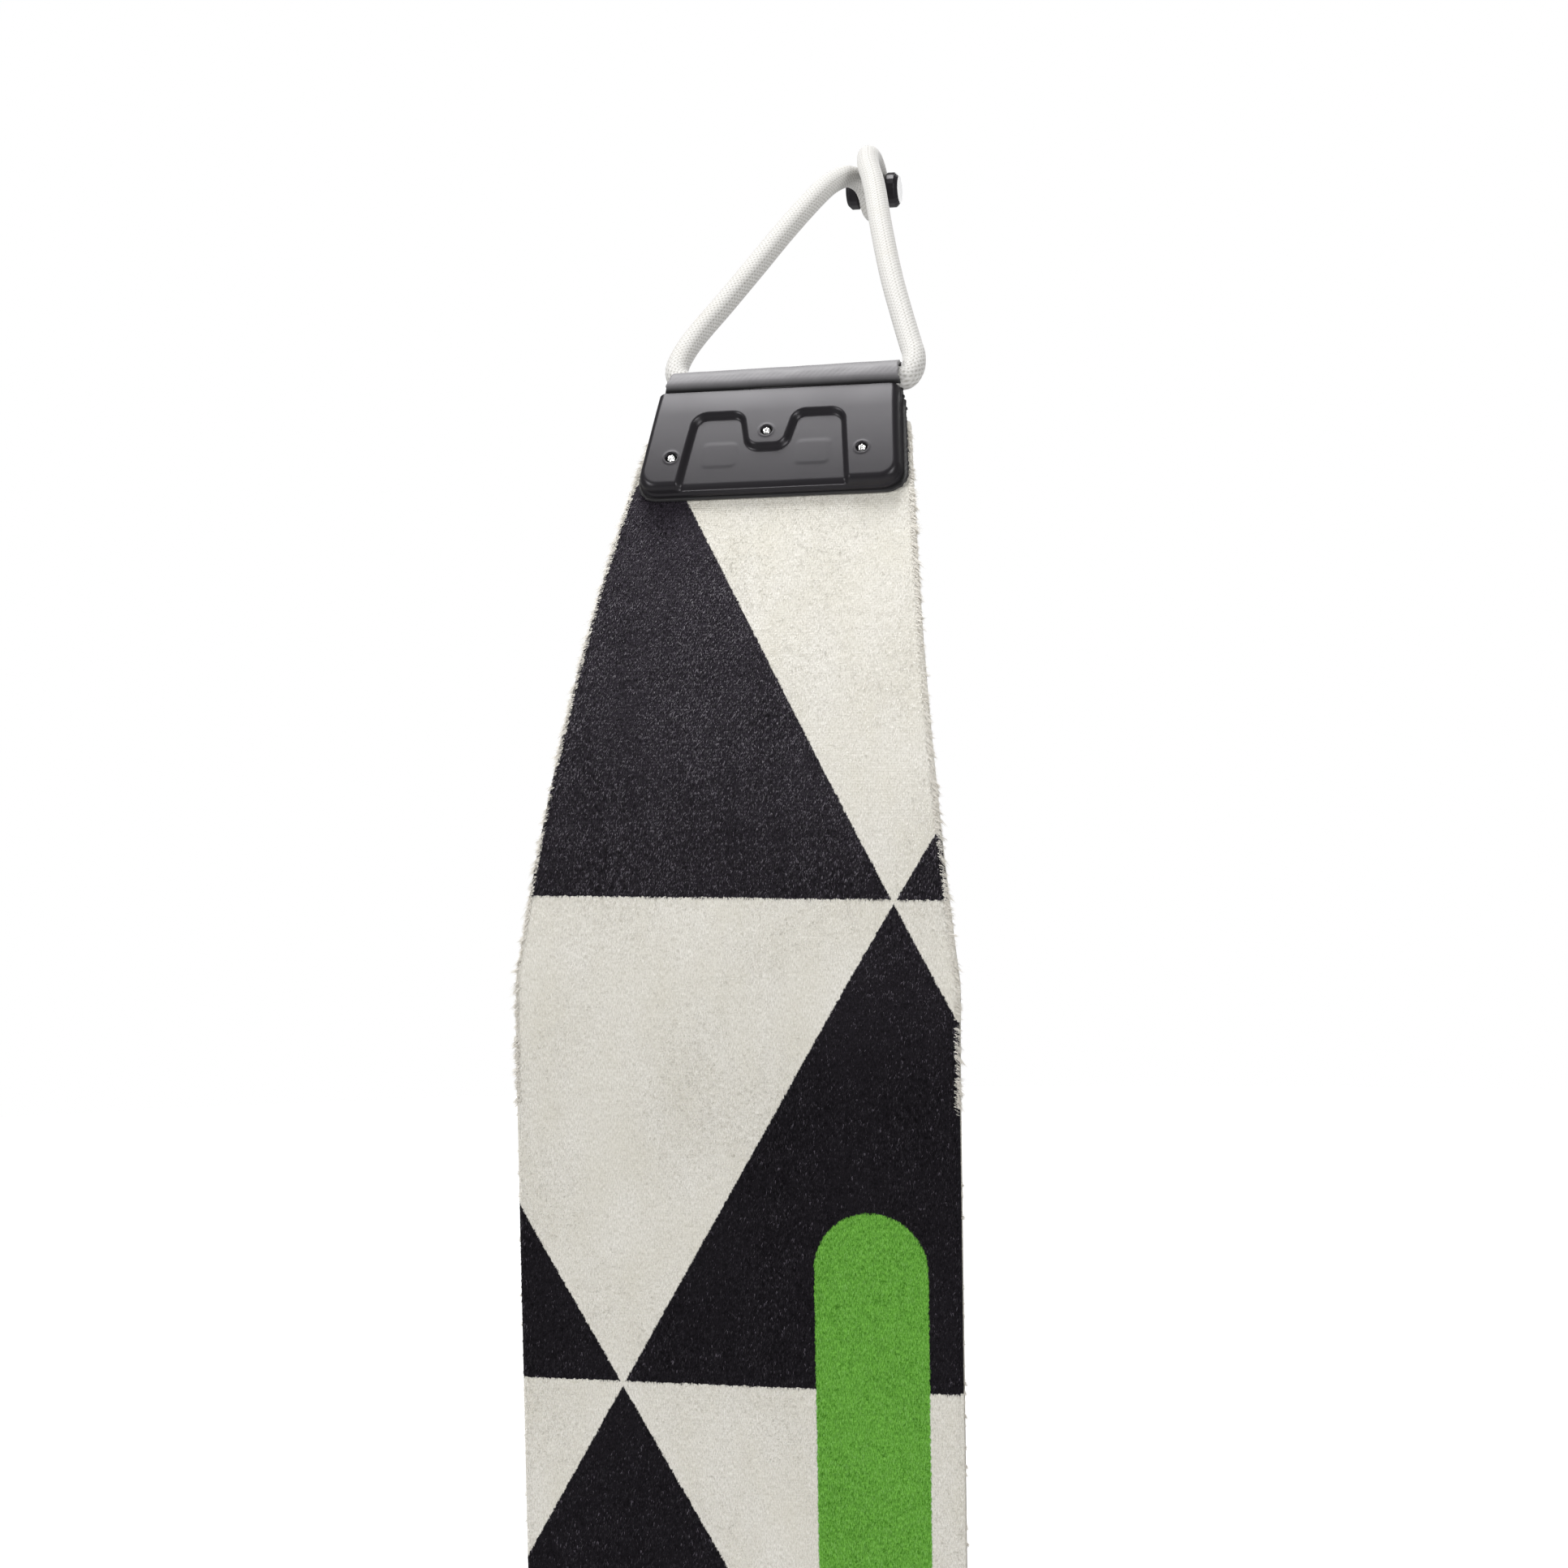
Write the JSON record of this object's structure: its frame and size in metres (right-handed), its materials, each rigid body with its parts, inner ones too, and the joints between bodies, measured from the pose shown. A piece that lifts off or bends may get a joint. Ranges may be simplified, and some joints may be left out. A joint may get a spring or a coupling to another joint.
{
  "type": "climbing skin",
  "caption": "Climbing skin for a touring ski: long plush strip with a glue side, tapered nose with a riveted tip plate and white elastic loop, tail strap with cam buckle and wire hook",
  "frame": {"origin": "on the glue face and the strip's centre line, 50 mm below where the nose begins to curve", "axes": "+Z runs along the strip towards the ski's tip, +Y points out of the glue face into the ski's base, +X runs across the strip to the right of a viewer who faces the plush"},
  "size_m": [0.11, 0.1816, 1.7079],
  "materials": {
    "charcoal_plush": "short upright pile, matte",
    "backing_cloth": "plain weave, matte",
    "glue_film": "smooth tacky film",
    "black_plastic": "satin moulded",
    "coated_cloth": "coated twill, low sheen",
    "white_cord": "braided cover, matte",
    "stainless_steel": "satin",
    "grey_webbing": "woven webbing, matte"
  },
  "bodies": {
    "front": {"plush_front": "charcoal_plush", "backing_front": "backing_cloth", "glue_front": "glue_film", "tip_cap": "black_plastic", "tip_sleeve": "coated_cloth", "tip_base_plate": "stainless_steel", "tip_rivet_left": "stainless_steel", "tip_rivet_middle": "stainless_steel", "tip_rivet_right": "stainless_steel"},
    "loop": {"tip_cord": "white_cord", "cord_ferrule": "stainless_steel"},
    "toggle": {"notch_toggle": "black_plastic"},
    "rear": {"plush_rear": "charcoal_plush", "backing_rear": "backing_cloth", "glue_rear": "glue_film", "tail_plate_outer": "black_plastic", "tail_plate_inner": "stainless_steel", "tail_rivet_upper_left": "stainless_steel", "tail_rivet_upper_right": "stainless_steel", "tail_rivet_lower_left": "stainless_steel", "tail_rivet_lower_right": "stainless_steel", "buckle_frame": "black_plastic", "lever_pin": "stainless_steel"},
    "lever": {"cam_lever": "black_plastic"},
    "strap": {"tail_strap": "grey_webbing", "strap_tab": "black_plastic"},
    "hook": {"tail_hook": "stainless_steel"}
  },
  "joints": [
    {"name": "loop_swing", "type": "hinge", "parent": "front", "child": "loop", "pos_m": [-0.00108, 0.06257, 0.22111], "axis": [0.9994, 0.0209, 0.028], "range_deg": [-80, 130]},
    {"name": "cord_stretch", "type": "slide", "parent": "loop", "child": "toggle", "axis": [0.0471, 0.8638, 0.5016], "range_m": [0, 0.03], "stiffness_N_per_m": 200, "deforming": ["tip_cord"]},
    {"name": "skin_fold", "type": "hinge", "parent": "front", "child": "rear", "pos_m": [0, 0.0015, -0.69], "axis": [1, 0, 0], "range_deg": [0, 170]},
    {"name": "cam_lever_turn", "type": "hinge", "parent": "rear", "child": "lever", "pos_m": [0, -0.0132, -1.347], "axis": [-1, 0, 0], "range_deg": [0, 110]},
    {"name": "strap_slide", "type": "slide", "parent": "rear", "child": "strap", "axis": [0, 0, 1], "range_m": [-0.045, 0.018]},
    {"name": "hook_swing", "type": "hinge", "parent": "strap", "child": "hook", "pos_m": [0, -0.0057, -1.392], "axis": [1, 0, 0], "range_deg": [-25, 60]}
  ]
}
